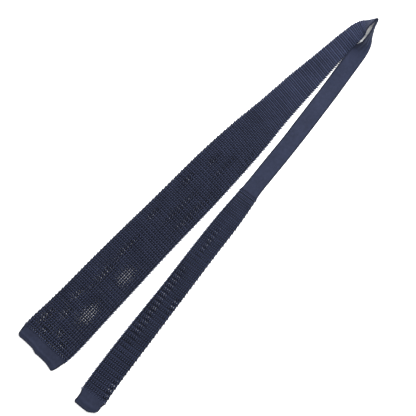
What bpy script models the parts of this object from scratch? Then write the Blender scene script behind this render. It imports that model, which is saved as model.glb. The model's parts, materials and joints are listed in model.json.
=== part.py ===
"""Square-ended knitted necktie, laid out on a table with its neck bend standing on edge.

The whole tie is one long ribbon, whose outer edge follows a route across the table: up the front
blade, round the nose of the neck bend and back down the tail. A place on the ribbon is given in mm by
  s  the distance along that route from the nose, negative on the front, positive on the tail
  v  the distance in from the outer edge, across the ribbon
  h  the height over the ribbon's middle layer, towards its face side
and Ribbon.point() turns it into metres.
"""

import math

import bmesh
import bpy
from mathutils import Vector

MM = 0.001
UP = Vector((0, 0, 1))

# Places along the ribbon.
FRONT_END = -686.2
FRONT_HEM = -670.0
KEEPER = -453.5
FRONT_FOLD = -385.0
FRONT_JOIN = -20.0
TAIL_JOIN = 311.0
TAIL_FOLD = 412.0
LABEL = 585.0
TAIL_HEM = 675.0
TAIL_END = 690.0

# Walls, as a share of the pressed thickness, gaps and small parts.
WALL_SHARE = 0.3
GAP = 0.3
SEAM_RING = 1.0
SEAM_CORD = (2.4, 0.6)
STAY_THICK = 0.4
STAY_MARGIN = 2.4
KEEPER_SIZE = (24.0, 60.0, 0.8)
LABEL_SIZE = (14.0, 22.0, 0.5)
TACK = (1.2, 7.0, 0.6)
STITCH_WIDTH = 0.6

# The outer edge seen from above, in mm from the nose. An arc rounds the nose itself.
FRONT_EDGE = [
    (-91.6, -700.0), (-88.2, -624.0), (-82.5, -545.0), (-76.6, -465.0), (-70.4, -386.0), (-64.4, -306.0),
    (-55.0, -231.0), (-43.3, -158.0), (-32.0, -85.0), (-26.2, -50.0), (-22.4, -29.5), (-17.2, -16.3),
    (-8.7, -6.3),
]
NOSE = (-0.55, -1.9)
NOSE_RADIUS = 3.7
NOSE_FROM, NOSE_TO = 143.0, 18.0
TAIL_EDGE = [
    (6.1, -10.7), (12.2, -22.2), (18.6, -31.8), (22.0, -43.0), (23.6, -56.0), (26.5, -91.0), (29.5, -126.0),
    (34.3, -197.0), (37.4, -270.0), (43.4, -340.0), (48.7, -411.0), (56.3, -518.0), (62.1, -588.0),
    (68.4, -658.0), (72.0, -700.0),
]

# What changes along the ribbon: (s, value). First how far in from the route its two edges are.
OUTER = [
    (-700, 2.0), (-692, 2.0), (-687, 1.2), (-684, 0.5), (-678, -0.5), (-672, -1.2), (-655, -1.4), (-640, -0.7),
    (-624, 0.1), (-600, 0.4), (-575, 0.2), (-545, -0.3), (-465, -0.3), (-430, 0.0), (-255, 0.0), (-228, 0.6),
    (-205, 0.8), (-180, 0.1), (-155, -0.5), (-130, 0.0), (-100, 0.4), (-80, 0.4), (-50, 0.1), (-30, 0.0),
    (70, 0.0), (170, 0.3), (210, 0.3), (245, 0.0), (275, 0.3), (298, 1.2), (308, 1.1), (320, 0.8),
    (345, -0.2), (370, -0.4), (395, 0.0), (430, 0.3), (460, 0.1), (520, -0.2), (560, 0.0), (600, 0.6),
    (632, 1.0), (655, 0.9), (668, 0.3), (675, 0.4), (680, 1.5), (690, 1.7), (700, 1.7),
]
INNER = [
    (-700, 69.5), (-690, 69.8), (-686.2, 70.7), (-681.7, 73.1), (-676, 75.3), (-670, 77.0), (-659, 78.6),
    (-645, 79.1), (-630, 79.0), (-605, 77.8), (-580, 76.5), (-555, 75.3), (-514, 73.4), (-474, 71.2),
    (-434, 69.4), (-394, 68.1), (-352, 66.9), (-314, 64.5), (-276, 60.5), (-238, 54.7), (-202, 47.5),
    (-165, 41.4), (-127, 36.1), (-91, 30.6), (-60, 27.8), (-40, 26.4), (-16, 25.5), (95, 25.2), (150, 25.7),
    (195, 25.9), (220, 25.5), (270, 25.8), (290, 26.3), (318, 28.2), (345, 30.8), (383, 33.0), (455, 34.4),
    (495, 35.0), (526, 36.0), (570, 37.8), (596, 38.7), (645, 40.0), (662, 40.0), (675, 39.6), (680, 37.9),
    (687, 37.9), (690, 38.8), (700, 38.8),
]
THICKNESS = [(-700, 4.0), (-130, 4.0), (-60, 3.2), (-16, 3.0), (300, 3.0), (350, 4.0), (700, 4.0)]
# Lean in degrees: 0 lies flat, 90 stands on the outer edge with the face outwards.
LEAN = [
    (-700, 0), (-70, 0), (-58, 9), (-47, 23), (-40, 26), (-32, 32), (-26, 38), (-20.5, 48), (-17, 61),
    (-14, 71), (-10, 78), (-5.5, 85), (-2, 90), (1, 90), (6, 88), (13, 86), (19, 83), (24.4, 78), (29, 71),
    (33.5, 62), (40, 55), (47, 43), (54, 30), (64, 19), (80, 14), (100, 8), (130, 0), (700, 0),
]
# Lift over what is sewn beneath: (s, half of its level length, slope length, height).
LIFTS = [(KEEPER, 15.0, 26.0, KEEPER_SIZE[2] + GAP), (LABEL, 10.0, 20.0, LABEL_SIZE[2] + GAP)]

# How far a hem's end edge reaches past the hem's END, by the share of the width from the outer edge.
FRONT_TIP = [
    (0.0, -2.0), (0.035, 0.6), (0.14, 0.2), (0.40, 0.3), (0.46, 1.6), (0.51, 2.9), (0.57, 2.6), (0.71, 2.4),
    (0.82, 2.8), (0.91, 4.2), (0.975, 5.5), (1.0, 4.6),
]
TAIL_TIP = [
    (0.0, -1.0), (0.065, 2.5), (0.157, 5.0), (0.25, 6.9), (0.34, 8.1), (0.5, 8.3), (0.65, 8.1), (0.86, 7.5),
    (0.95, 6.9), (1.0, 4.0),
]

# Spacing of the mesh's rows, by how far they are from the nose, and faces across a flat side.
STEPS = [(8, 1.0), (70, 2.2), (134, 6.0), (640, 18.0), (1000, 4.0)]
COLUMNS = 4
HEM_COLUMNS = 18

# A pressed edge's rounding: its reach as a share of the width, and its middle knots (depth, height).
EDGE_SHARE = 0.3
EDGE_KNOTS = [(0.3, 0.62), (0.0, 0.0), (0.3, -0.62)]

# Colours (linear RGB) of the yarns.
NAVY = (0.031, 0.038, 0.062)
NAVY_DENSE = (0.038, 0.045, 0.072)
BAND_BLUE = (0.048, 0.058, 0.098)
SEAM_BLUE = (0.022, 0.027, 0.048)
TAPE_GREY = (0.30, 0.31, 0.34)
LABEL_GREY = (0.42, 0.43, 0.45)


def smoothstep(x):
    """Ease from 0 to 1 as x goes from 0 to 1."""
    x = min(max(x, 0.0), 1.0)
    return x * x * (3 - 2 * x)


def read_table(table, s):
    """Cubic reading of a (s, value) table, with each knot's slope taken from its neighbours."""
    i = max(k for k in range(len(table) - 1) if k == 0 or table[k][0] <= s)
    (s0, a), (s1, b) = table[i], table[i + 1]
    before, after = table[max(i - 1, 0)], table[min(i + 2, len(table) - 1)]
    slope0 = (b - before[1]) / (s1 - before[0])
    slope1 = (after[1] - a) / (after[0] - s0)
    if a == b:
        return a
    t = (s - s0) / (s1 - s0)
    ease = smoothstep(t)
    run = s1 - s0
    return a + (b - a) * ease + run * t * (1 - t) * (slope0 * (1 - t) - slope1 * t)


def through(points, steps=16):
    """A smooth curve through points: Hermite pieces whose slopes come from the neighbours."""
    times = [0.0]
    for a, b in zip(points, points[1:]):
        times.append(times[-1] + (b - a).length)
    slopes = []
    for i in range(len(points)):
        lo, hi = max(i - 1, 0), min(i + 1, len(points) - 1)
        slopes.append((points[hi] - points[lo]) / (times[hi] - times[lo]))
    curve = []
    for i in range(len(points) - 1):
        run = times[i + 1] - times[i]
        for k in range(steps):
            t = k / steps
            bend = run * t * (1 - t) * (slopes[i] * (1 - t) - slopes[i + 1] * t)
            curve.append(points[i].lerp(points[i + 1], smoothstep(t)) + bend)
    return [*curve, points[-1]]


class Ribbon:
    """The tie's centre surface, from the front end round the nose to the tail end."""

    def __init__(self):
        angles = [NOSE_FROM + (NOSE_TO - NOSE_FROM) * k / 4 for k in range(5)]
        nose = [
            Vector(NOSE) + NOSE_RADIUS * Vector((math.cos(math.radians(a)), math.sin(math.radians(a))))
            for a in angles
        ]
        knots = [Vector(p) for p in FRONT_EDGE] + nose + [Vector(p) for p in TAIL_EDGE]
        self.route = through(knots)
        tip = min(range(len(self.route)), key=lambda i: (self.route[i] - nose[2]).length)
        self.places = [0.0]
        for a, b in zip(self.route, self.route[1:]):
            self.places.append(self.places[-1] + (b - a).length)
        self.places = [p - self.places[tip] for p in self.places]

    def edge(self, s):
        """Place and direction of the outer edge at s, seen from above."""
        low, high = 0, len(self.places) - 1
        while high - low > 1:
            middle = (low + high) // 2
            low, high = (middle, high) if self.places[middle] <= s else (low, middle)
        t = (s - self.places[low]) / (self.places[high] - self.places[low])

        def heading(i):
            step = self.route[min(i + 1, len(self.route) - 1)] - self.route[max(i - 1, 0)]
            return step.normalized()

        return self.route[low].lerp(self.route[high], t), heading(low).lerp(heading(high), t).normalized()

    def outer(self, s):
        return read_table(OUTER, s)

    def width(self, s):
        return read_table(INNER, s) - self.outer(s)

    def thickness(self, s):
        return read_table(THICKNESS, s)

    def lift(self, s):
        rise = 0.0
        for centre, level, slope, height in LIFTS:
            rise += height * smoothstep((level + slope - abs(s - centre)) / slope)
        return rise

    def frame(self, s):
        """Point on the table, the unit vector across the ribbon and its face normal at s."""
        place, along = self.edge(s)
        inward = Vector((along.y, -along.x, 0))
        lean = math.radians(read_table(LEAN, s))
        across = inward * math.cos(lean) + UP * math.sin(lean)
        face = UP * math.cos(lean) - inward * math.sin(lean)
        base = place.to_3d() + self.thickness(s) / 2 * (inward * math.sin(lean) + UP * math.cos(lean))
        return base + self.outer(s) * across + UP * self.lift(s), across, face

    def point(self, s, v, h):
        base, across, face = self.frame(s)
        return (base + v * across + h * face) * MM

    def stations(self, start, end):
        """Places from start to end: close together round the nose, wide apart on the flat."""
        places = [start]
        while places[-1] < end:
            at = abs(places[-1])
            step = next(step for reach, step in STEPS if at < reach)
            places.append(places[-1] + step)
        if len(places) > 2 and end - places[-2] < step / 2:
            places.pop()
        return [*places[:-1], end]


RIBBON = Ribbon()


def section(width, thick, inset=0.0, columns=COLUMNS):
    """Closed outline across the ribbon with rounded edges, as (v, h) places."""
    half = thick / 2 - inset
    low, high = inset, width - inset
    nose = min(half, EDGE_SHARE * (high - low))
    flats = [low + nose + (high - low - 2 * nose) * k / columns for k in range(columns + 1)]
    edge = [(depth * nose, height * half) for depth, height in EDGE_KNOTS]
    back = [(v, -half) for v in flats]
    face = [(v, half) for v in reversed(flats)]
    return [*back, *[(high - d, -h) for d, h in edge], *face, *[(low + d, h) for d, h in edge]]


def drawn_out(s, v, width, hem, end, tip):
    """Shift s along a hem, so that its end edge follows tip."""
    if not tip:
        return s
    reach = (s - hem) / (end - hem)
    return s + math.copysign(read_table(tip, v / width), end) * reach


class Solid:
    """A mesh under construction, in metres."""

    def __init__(self):
        self.mesh = bmesh.new()

    def loop(self, points):
        return [self.mesh.verts.new(p) for p in points]

    def skin(self, loops, inside=False):
        """Faces between loops that follow each other."""
        for a, b in zip(loops, loops[1:]):
            for i in range(len(a)):
                j = (i + 1) % len(a)
                quad = (a[i], b[i], b[j], a[j])
                self.mesh.faces.new(quad if inside else quad[::-1])

    def cap(self, loop, first):
        self.mesh.faces.new(loop if first else loop[::-1])

    def ring_cap(self, outer, inner, first):
        for i in range(len(outer)):
            j = (i + 1) % len(outer)
            quad = (outer[i], outer[j], inner[j], inner[i])
            self.mesh.faces.new(quad if first else quad[::-1])


def tube(start, end, tip=None):
    """A flat tube of knit from start to end, open at both ends. A hem's tip shapes its free end."""
    solid = Solid()
    near, far = (start, end) if end > 0 else (end, start)
    columns = HEM_COLUMNS if tip else COLUMNS
    rows = []
    for share in (0.0, WALL_SHARE):
        rows.append([])
        for s in RIBBON.stations(start, end):
            width = RIBBON.width(s)
            thick = RIBBON.thickness(s)
            outline = section(width, thick, share * thick, columns)
            places = [(drawn_out(s, v, width, near, far, tip), v, h) for v, h in outline]
            rows[-1].append(solid.loop([RIBBON.point(*p) for p in places]))
    outer, inner = rows
    solid.skin(outer)
    solid.skin(inner, inside=True)
    solid.ring_cap(outer[0], inner[0], True)
    solid.ring_cap(outer[-1], inner[-1], False)
    return solid


def strip(solid, start, end, low, high, bottom, top):
    """A plain closed strip along the ribbon. low and high are functions of the ribbon's width."""
    loops = []
    for s in RIBBON.stations(start, end):
        width = RIBBON.width(s)
        columns = [low(width) + (high(width) - low(width)) * k / COLUMNS for k in range(COLUMNS + 1)]
        outline = [(v, bottom) for v in columns] + [(v, top) for v in reversed(columns)]
        loops.append(solid.loop([RIBBON.point(s, v, h) for v, h in outline]))
    solid.skin(loops)
    solid.cap(loops[0], True)
    solid.cap(loops[-1], False)


def seam_cord(start, end):
    """The seam allowance, inside the tube along the middle of its back wall."""
    solid = Solid()
    wide, thick = SEAM_CORD
    strip(solid, start, end, lambda w: (w - wide) / 2, lambda w: (w + wide) / 2, -thick / 2, thick / 2)
    return solid


def stay_tape(start, end):
    """The woven tape inside the neckband, a little narrower than its pocket."""
    solid = Solid()
    half = STAY_THICK / 2
    strip(solid, start, end, lambda w: STAY_MARGIN, lambda w: w - STAY_MARGIN, -half, half)
    return solid


def on_table(s, v):
    """The place on the table under s and v, and the directions along and across the ribbon there."""
    place, along = RIBBON.edge(s)
    across = Vector((along.y, -along.x, 0))
    return place.to_3d() + across * (v + RIBBON.outer(s)), along.to_3d(), across


def block(solid, s, v, bottom, length, width, height):
    """A small block on the table under the ribbon, centred on s and v, turned with the ribbon."""
    centre, ahead, across = on_table(s, v)
    corners = [(-1, -1), (-1, 1), (1, 1), (1, -1)]
    loops = []
    for z in (bottom, bottom + height):
        spots = [centre + ahead * length / 2 * a + across * width / 2 * b + UP * z for a, b in corners]
        loops.append(solid.loop([p * MM for p in spots]))
    solid.skin(loops, inside=True)
    solid.cap(loops[0], False)
    solid.cap(loops[1], True)


def under_ribbon(s, size, shift=0.0):
    """A flat piece sewn under the ribbon at s, shift millimetres off its middle."""
    solid = Solid()
    length, width, height = size
    block(solid, s, RIBBON.width(s) / 2 + shift, 0.0, length, width, height)
    return solid


def end_stitches(hem, end, tip, count):
    """The slip-stitch thread that closes the open end of a hem, zigzag from layer to layer."""
    solid = Solid()
    half = STITCH_WIDTH / 2
    reach = RIBBON.thickness(end) * (1 - WALL_SHARE) / 2
    width = RIBBON.width(end)
    loops = []
    for k in range(count + 1):
        v = width * (k + 1) / (count + 2)
        s = drawn_out(end, v, width, hem, end, tip) + math.copysign(GAP + half, end)
        h = reach if k % 2 else -reach
        corners = [(s - half, h - half), (s + half, h - half), (s + half, h + half), (s - half, h + half)]
        loops.append(solid.loop([RIBBON.point(a, v, b) for a, b in corners]))
    solid.skin(loops)
    solid.cap(loops[0], True)
    solid.cap(loops[-1], False)
    return solid


def label_stitches(s, size):
    """The line of stitching round the label, as a low frame."""
    solid = Solid()
    centre, ahead, across = on_table(s, RIBBON.width(s) / 2)
    loops = []
    for a, b in [(-1, -1), (1, -1), (1, 1), (-1, 1)]:
        spots = []
        for grow, z in [(GAP, 0), (GAP + STITCH_WIDTH, 0), (GAP + STITCH_WIDTH, size[2]), (GAP, size[2])]:
            reach = ahead * a * (size[0] / 2 + grow) + across * b * (size[1] / 2 + grow)
            spots.append((centre + reach + UP * z) * MM)
        loops.append(solid.loop(spots))
    solid.skin([*loops, loops[0]])
    return solid


def material(name, colour, roughness):
    made = bpy.data.materials.new(name)
    made.use_nodes = True
    shader = made.node_tree.nodes["Principled BSDF"]
    shader.inputs["Base Color"].default_value = (*colour, 1.0)
    shader.inputs["Roughness"].default_value = roughness
    shader.inputs["Metallic"].default_value = 0.0
    made.diffuse_color = (*colour, 1.0)
    return made


def fold_pivot(s):
    """Where a blade folds: on its face side, across its width."""
    return RIBBON.point(s, RIBBON.width(s) / 2, RIBBON.thickness(s) / 2 + GAP)


def nose_pivot():
    """Where the neck bend opens: upright, just outside its nose."""
    place, along = RIBBON.edge(0.0)
    outward = Vector((-along.y, along.x))
    return (place + outward * GAP).to_3d() * MM


def pivot(name, place, parent):
    empty = bpy.data.objects.new(name, None)
    empty.empty_display_size = 0.01
    empty.location = place
    bpy.context.collection.objects.link(empty)
    empty.parent = parent
    return empty


def add(name, solid, look, carrier, place):
    """Make the object, with its origin on the joint that carries it."""
    bmesh.ops.translate(solid.mesh, verts=solid.mesh.verts, vec=-place)
    bmesh.ops.recalc_face_normals(solid.mesh, faces=solid.mesh.faces)
    mesh = bpy.data.meshes.new(name)
    solid.mesh.to_mesh(mesh)
    solid.mesh.free()
    mesh.materials.append(look)
    made = bpy.data.objects.new(name, mesh)
    bpy.context.collection.objects.link(made)
    made.parent = carrier
    return made


def front_parts(knit, dense, seam, tape):
    """Name, solid and look of each piece, by the body that carries it."""
    half = GAP / 2
    keeper_side = KEEPER_SIZE[1] / 2 + GAP + TACK[0] / 2
    tack = (TACK[1], TACK[0], TACK[2])
    upper = [
        ("front_blade_upper", tube(FRONT_FOLD + half, FRONT_JOIN - SEAM_RING / 2 - GAP), knit),
        ("front_back_seam_upper", seam_cord(FRONT_FOLD + half, FRONT_JOIN - SEAM_RING - GAP), seam),
        ("front_join_seam", tube(FRONT_JOIN - SEAM_RING / 2, FRONT_JOIN + SEAM_RING / 2), seam),
        ("neckband_bend", tube(FRONT_JOIN + SEAM_RING / 2 + GAP, -half), dense),
        ("stay_tape_bend", stay_tape(FRONT_JOIN + SEAM_RING + GAP, -half), tape),
    ]
    lower = [
        ("front_blade_lower", tube(FRONT_HEM + half, FRONT_FOLD - half), knit),
        ("front_hem_cuff", tube(FRONT_END, FRONT_HEM - half, FRONT_TIP), dense),
        ("front_back_seam_lower", seam_cord(FRONT_HEM + half, FRONT_FOLD - half), seam),
        ("front_seam_tack", inner_tack(FRONT_HEM - TACK[0]), seam),
        ("front_hem_stitches", end_stitches(FRONT_HEM, FRONT_END, FRONT_TIP, 14), seam),
        ("keeper_loop", under_ribbon(KEEPER, KEEPER_SIZE), dense),
        ("keeper_tack_outer", under_ribbon(KEEPER, tack, -keeper_side), seam),
        ("keeper_tack_inner", under_ribbon(KEEPER, tack, keeper_side), seam),
    ]
    return upper, lower


def inner_tack(s):
    """A bar tack across the seam, inside the tube."""
    solid = Solid()
    long, wide, thick = TACK
    strip(solid, s - long / 2, s + long / 2, lambda w: (w - wide) / 2, lambda w: (w + wide) / 2,
          -thick / 2, thick / 2)
    return solid


def tail_parts(knit, dense, seam, tape, label):
    half = GAP / 2
    upper = [
        ("neckband_long", tube(half, TAIL_JOIN - SEAM_RING / 2 - GAP), dense),
        ("stay_tape_long", stay_tape(half, TAIL_JOIN - SEAM_RING - GAP), tape),
        ("tail_join_seam", tube(TAIL_JOIN - SEAM_RING / 2, TAIL_JOIN + SEAM_RING / 2), seam),
        ("tail_blade_upper", tube(TAIL_JOIN + SEAM_RING / 2 + GAP, TAIL_FOLD - half), knit),
        ("tail_back_seam_upper", seam_cord(TAIL_JOIN + SEAM_RING + GAP, TAIL_FOLD - half), seam),
    ]
    lower = [
        ("tail_blade_lower", tube(TAIL_FOLD + half, TAIL_HEM - half), knit),
        ("tail_hem_cuff", tube(TAIL_HEM + half, TAIL_END, TAIL_TIP), dense),
        ("tail_back_seam_lower", seam_cord(TAIL_FOLD + half, TAIL_HEM - half), seam),
        ("tail_seam_tack", inner_tack(TAIL_HEM + TACK[0]), seam),
        ("tail_hem_stitches", end_stitches(TAIL_HEM, TAIL_END, TAIL_TIP, 8), seam),
        ("care_label", under_ribbon(LABEL, LABEL_SIZE), label),
        ("care_label_stitches", label_stitches(LABEL, LABEL_SIZE), seam),
    ]
    return upper, lower


def centre_on_table(root):
    """Move the tie so that the middle of its underside's box is at the world's origin."""
    bpy.context.view_layer.update()
    corners = [
        made.matrix_world @ Vector(corner)
        for made in bpy.data.objects if made.type == "MESH"
        for corner in made.bound_box
    ]
    low = [min(c[i] for c in corners) for i in range(3)]
    high = [max(c[i] for c in corners) for i in range(3)]
    root.location = (-(low[0] + high[0]) / 2, -(low[1] + high[1]) / 2, -low[2])


def main():
    for old in list(bpy.data.objects):
        bpy.data.objects.remove(old)
    knit = material("navy_mesh_knit", NAVY, 0.9)
    dense = material("navy_dense_knit", NAVY_DENSE, 0.85)
    band = material("neckband_knit", BAND_BLUE, 0.8)
    seam = material("seam_thread", SEAM_BLUE, 0.7)
    tape = material("stay_tape", TAPE_GREY, 0.8)
    label = material("blank_label", LABEL_GREY, 0.6)

    root = pivot("tie_root", Vector(), None)
    front_fold = pivot("front_fold_axis", fold_pivot(FRONT_FOLD), root)
    neck = pivot("neck_bend_axis", nose_pivot(), root)
    tail_fold = pivot("tail_fold_axis", fold_pivot(TAIL_FOLD) - nose_pivot(), neck)

    front_upper, front_lower = front_parts(knit, dense, seam, tape)
    tail_upper, tail_lower = tail_parts(knit, dense, seam, tape, label)
    carried = [
        (root, Vector(), front_upper),
        (front_fold, fold_pivot(FRONT_FOLD), front_lower),
        (neck, nose_pivot(), tail_upper),
        (tail_fold, fold_pivot(TAIL_FOLD), tail_lower),
    ]
    for carrier, place, parts in carried:
        for name, solid, look in parts:
            add(name, solid, band if name.startswith("neckband") else look, carrier, place)
    centre_on_table(root)


main()
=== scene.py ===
"""Looks of the knitted necktie: open-mesh blades knitted loop by loop, plain neckband and hems.

The tie is one long ribbon, as in the CAD model. A place on it is given in millimetres by
  s  the distance along its outer edge from the nose, negative on the front, positive on the tail
  v  the distance in from the outer edge, across the ribbon
  h  the height over its middle layer, towards its face side
and RIBBON.at() turns arrays of them into metres in the frame's axes.
"""

import json
import math

import bpy
import numpy as np
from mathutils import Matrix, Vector


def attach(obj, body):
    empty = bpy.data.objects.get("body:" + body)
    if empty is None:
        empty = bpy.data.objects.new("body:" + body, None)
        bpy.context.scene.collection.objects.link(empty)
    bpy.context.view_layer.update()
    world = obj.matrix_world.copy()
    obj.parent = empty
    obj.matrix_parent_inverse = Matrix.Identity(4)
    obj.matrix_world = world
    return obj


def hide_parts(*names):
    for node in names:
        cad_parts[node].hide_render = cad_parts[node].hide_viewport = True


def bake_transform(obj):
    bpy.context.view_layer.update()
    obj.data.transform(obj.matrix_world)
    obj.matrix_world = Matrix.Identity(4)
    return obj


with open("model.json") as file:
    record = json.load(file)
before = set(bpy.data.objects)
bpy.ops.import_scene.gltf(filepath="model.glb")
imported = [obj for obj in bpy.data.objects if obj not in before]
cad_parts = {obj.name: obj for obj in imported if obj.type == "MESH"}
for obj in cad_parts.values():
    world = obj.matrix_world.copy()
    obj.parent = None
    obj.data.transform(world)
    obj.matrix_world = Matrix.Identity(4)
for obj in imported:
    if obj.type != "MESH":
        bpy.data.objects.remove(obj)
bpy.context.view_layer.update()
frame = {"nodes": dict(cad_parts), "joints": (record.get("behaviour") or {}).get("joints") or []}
JOINTS = {joint["name"]: joint for joint in frame["joints"]}

MM = 0.001
PI = math.pi
TAU = 2 * PI
UP = np.array([0.0, 0.0, 1.0])

# ---------------------------------------------------------------- places along the ribbon, as in the CAD
FRONT_END = -686.2
FRONT_HEM = -670.0
KEEPER = -453.5
FRONT_FOLD = -385.0
FRONT_JOIN = -20.0
TAIL_JOIN = 311.0
TAIL_FOLD = 412.0
LABEL = 585.0
TAIL_HEM = 675.0
TAIL_END = 690.0
KEEPER_SIZE = (24.0, 60.0, 0.8)   # along the ribbon, across it and thick
LABEL_SIZE = (14.0, 22.0, 0.5)
GAP = 0.3                 # clearance between neighbouring parts

# The outer edge's route in plan: the front, the small round of the nose, and the tail.
FRONT_EDGE = [
    (-91.6, -700.0), (-88.2, -624.0), (-82.5, -545.0), (-76.6, -465.0), (-70.4, -386.0), (-64.4, -306.0),
    (-55.0, -231.0), (-43.3, -158.0), (-32.0, -85.0), (-26.2, -50.0), (-22.4, -29.5), (-17.2, -16.3),
    (-8.7, -6.3),
]
NOSE = (-0.55, -1.9)
NOSE_RADIUS = 3.7
NOSE_FROM, NOSE_TO = 143.0, 18.0  # degrees round the nose
NOSE_POINTS = 5
ROUTE_STEPS = 16          # points of the route between two of the places above
TAIL_EDGE = [
    (6.1, -10.7), (12.2, -22.2), (18.6, -31.8), (22.0, -43.0), (23.6, -56.0), (26.5, -91.0), (29.5, -126.0),
    (34.3, -197.0), (37.4, -270.0), (43.4, -340.0), (48.7, -411.0), (56.3, -518.0), (62.1, -588.0),
    (68.4, -658.0), (72.0, -700.0),
]
# What changes along the ribbon: (s, value). First how far in from the route its two edges are.
OUTER = [
    (-700, 2.0), (-692, 2.0), (-687, 1.2), (-684, 0.5), (-678, -0.5), (-672, -1.2), (-655, -1.4),
    (-640, -0.7), (-624, 0.1), (-600, 0.4), (-575, 0.2), (-545, -0.3), (-465, -0.3), (-430, 0.0),
    (-255, 0.0), (-228, 0.6), (-205, 0.8), (-180, 0.1), (-155, -0.5), (-130, 0.0), (-100, 0.4), (-80, 0.4),
    (-50, 0.1), (-30, 0.0), (70, 0.0), (170, 0.3), (210, 0.3), (245, 0.0), (275, 0.3), (298, 1.2),
    (308, 1.1), (320, 0.8), (345, -0.2), (370, -0.4), (395, 0.0), (430, 0.3), (460, 0.1), (520, -0.2),
    (560, 0.0), (600, 0.6), (632, 1.0), (655, 0.9), (668, 0.3), (675, 0.4), (680, 1.5), (690, 1.7),
    (700, 1.7),
]
INNER = [
    (-700, 69.5), (-690, 69.8), (-686.2, 70.7), (-681.7, 73.1), (-676, 75.3), (-670, 77.0), (-659, 78.6),
    (-645, 79.1), (-630, 79.0), (-605, 77.8), (-580, 76.5), (-555, 75.3), (-514, 73.4), (-474, 71.2),
    (-434, 69.4), (-394, 68.1), (-352, 66.9), (-314, 64.5), (-276, 60.5), (-238, 54.7), (-202, 47.5),
    (-165, 41.4), (-127, 36.1), (-91, 30.6), (-60, 27.8), (-40, 26.4), (-16, 25.5), (95, 25.2), (150, 25.7),
    (195, 25.9), (220, 25.5), (270, 25.8), (290, 26.3), (318, 28.2), (345, 30.8), (383, 33.0), (455, 34.4),
    (495, 35.0), (526, 36.0), (570, 37.8), (596, 38.7), (645, 40.0), (662, 40.0), (675, 39.6), (680, 37.9),
    (687, 37.9), (690, 38.8), (700, 38.8),
]
# The pressed cloth's thickness, and how far the ribbon leans up off the table on its outer edge, in degrees.
THICKNESS = [(-700, 4.0), (-130, 4.0), (-60, 3.2), (-16, 3.0), (300, 3.0), (350, 4.0), (700, 4.0)]
LEAN = [
    (-700, 0), (-70, 0), (-58, 9), (-47, 23), (-40, 26), (-32, 32), (-26, 38), (-20.5, 48), (-17, 61),
    (-14, 71), (-10, 78), (-5.5, 85), (-2, 90), (1, 90), (6, 88), (13, 86), (19, 83), (24.4, 78), (29, 71),
    (33.5, 62), (40, 55), (47, 43), (54, 30), (64, 19), (80, 14), (100, 8), (130, 0), (700, 0),
]
# Where the ribbon lies over a part below it: the middle, half the level stretch, each slope, and the rise.
LIFTS = [(KEEPER, 15.0, 26.0, KEEPER_SIZE[2] + GAP), (LABEL, 10.0, 20.0, LABEL_SIZE[2] + GAP)]
# How far a hem's end edge reaches past the hem's END, by the share of the width from the outer edge.
FRONT_TIP = [
    (0.0, -2.0), (0.035, 0.6), (0.14, 0.2), (0.40, 0.3), (0.46, 1.6), (0.51, 2.9), (0.57, 2.6), (0.71, 2.4),
    (0.82, 2.8), (0.91, 4.2), (0.975, 5.5), (1.0, 4.6),
]
TAIL_TIP = [
    (0.0, -1.0), (0.065, 2.5), (0.157, 5.0), (0.25, 6.9), (0.34, 8.1), (0.5, 8.3), (0.65, 8.1), (0.86, 7.5),
    (0.95, 6.9), (1.0, 4.0),
]

# ---------------------------------------------------------------- the knit
# The open mesh. A wale is a loop's width and a course its height. Courses are full and slack by turns.
FRONT_WALES = 42          # round the tube, both layers
TAIL_WALES = 22
MESH_YARN = 0.58          # yarn radius where the courses are USUAL_PITCH apart
USUAL_PITCH = 3.2
YARN_ROOM = (0.25, 0.10)  # the radius is at most this share of a wale, and this much more
YARN_SIZE = 1.18          # the yarn as drawn, in radii
YARN_THINNED = 0.34       # how much less that is where the layers' holes line up
YARN_FOOT = 0.22          # how much more it is at a loop's foot, and less at its head
YARN_FLATNESS = 0.85      # height of the yarn's section, in widths
MESH_RELIEF = 0.44        # how far loops' heads and feet stand out and their sides in, in cloth FULL_THICK
FULL_THICK = 4.0
THIN_RELIEF = 0.75        # the least share of the relief, in thinner cloth
KEEP_IN = 1.2             # how far the yarn's path keeps inside the pressed face, in radii and reliefs
LOOP_HEIGHT = 1.46        # a loop's height, in courses
LOOP_SWAY = 0.105         # how far a loop's sides lean out, in wales
SPLAY = 0.078             # how far a loop's feet draw together, in wales, which opens the holes
FULL_YARN = 0.07          # how much a full course's yarn is thicker, and a slack one's thinner
FULL_RELIEF = 0.12        # and so on for its relief
FULL_HEIGHT = 0.03        # its loops' height
FULL_LAG = 0.05           # and how far its loops lie to one side, in wales
CLOSE_YARN = 0.16         # how much thicker the yarn is in the close courses beside hems and joins
CLOSE_RELIEF = 0.4        # and how much lower their relief
UNEVEN = 0.03             # how much the loops' height and place differ by chance
UNEVEN_YARN = 0.05        # and the yarn's thickness
DRIFT = (0.3, 0.10, 0.25)  # how much of a loop's chance value moves it aside, ahead and out
STEP_APART = 0.25         # how far each layer moves, in wales and courses, to put the holes half a step apart
LAYER_TURN = 3            # how sharply the way along turns over from one layer to the other
IN_STEP = 0.95            # how well the layers' holes line up where they do
EDGE_WAY = 2.0            # what the round edges add to a layer's way round the tube
SPREAD_WALE = 3.1         # narrower wales than this squeeze the courses into ribs
SQUEEZE_RUN = 1.8         # how much narrower they are where the ribs are at their fullest
SQUEEZED_RELIEF, SQUEEZED_SCALLOP = 0.4, 0.6  # the shares that the loops' relief and SCALLOP lose then
RIB = (0.15, 0.8)         # how far heads stand out and feet in, in reliefs, and how much more when squeezed
EDGE_RIB = 0.85           # how much more again at the tube's edges, in mm
SCALLOP = 0.34            # how far a full course stands out at the tube's edges, each way from the mean
MESH_OVER = (0.75, 0.6)   # how far the soft loops reach past the pressed outer and inner edges
LOOP_STEPS = 14           # points of the yarn's path in one loop
YARN_SIDES = 5
COURSE_SEED = 97          # keeps the chance values of one course's loops apart from the next one's

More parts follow.
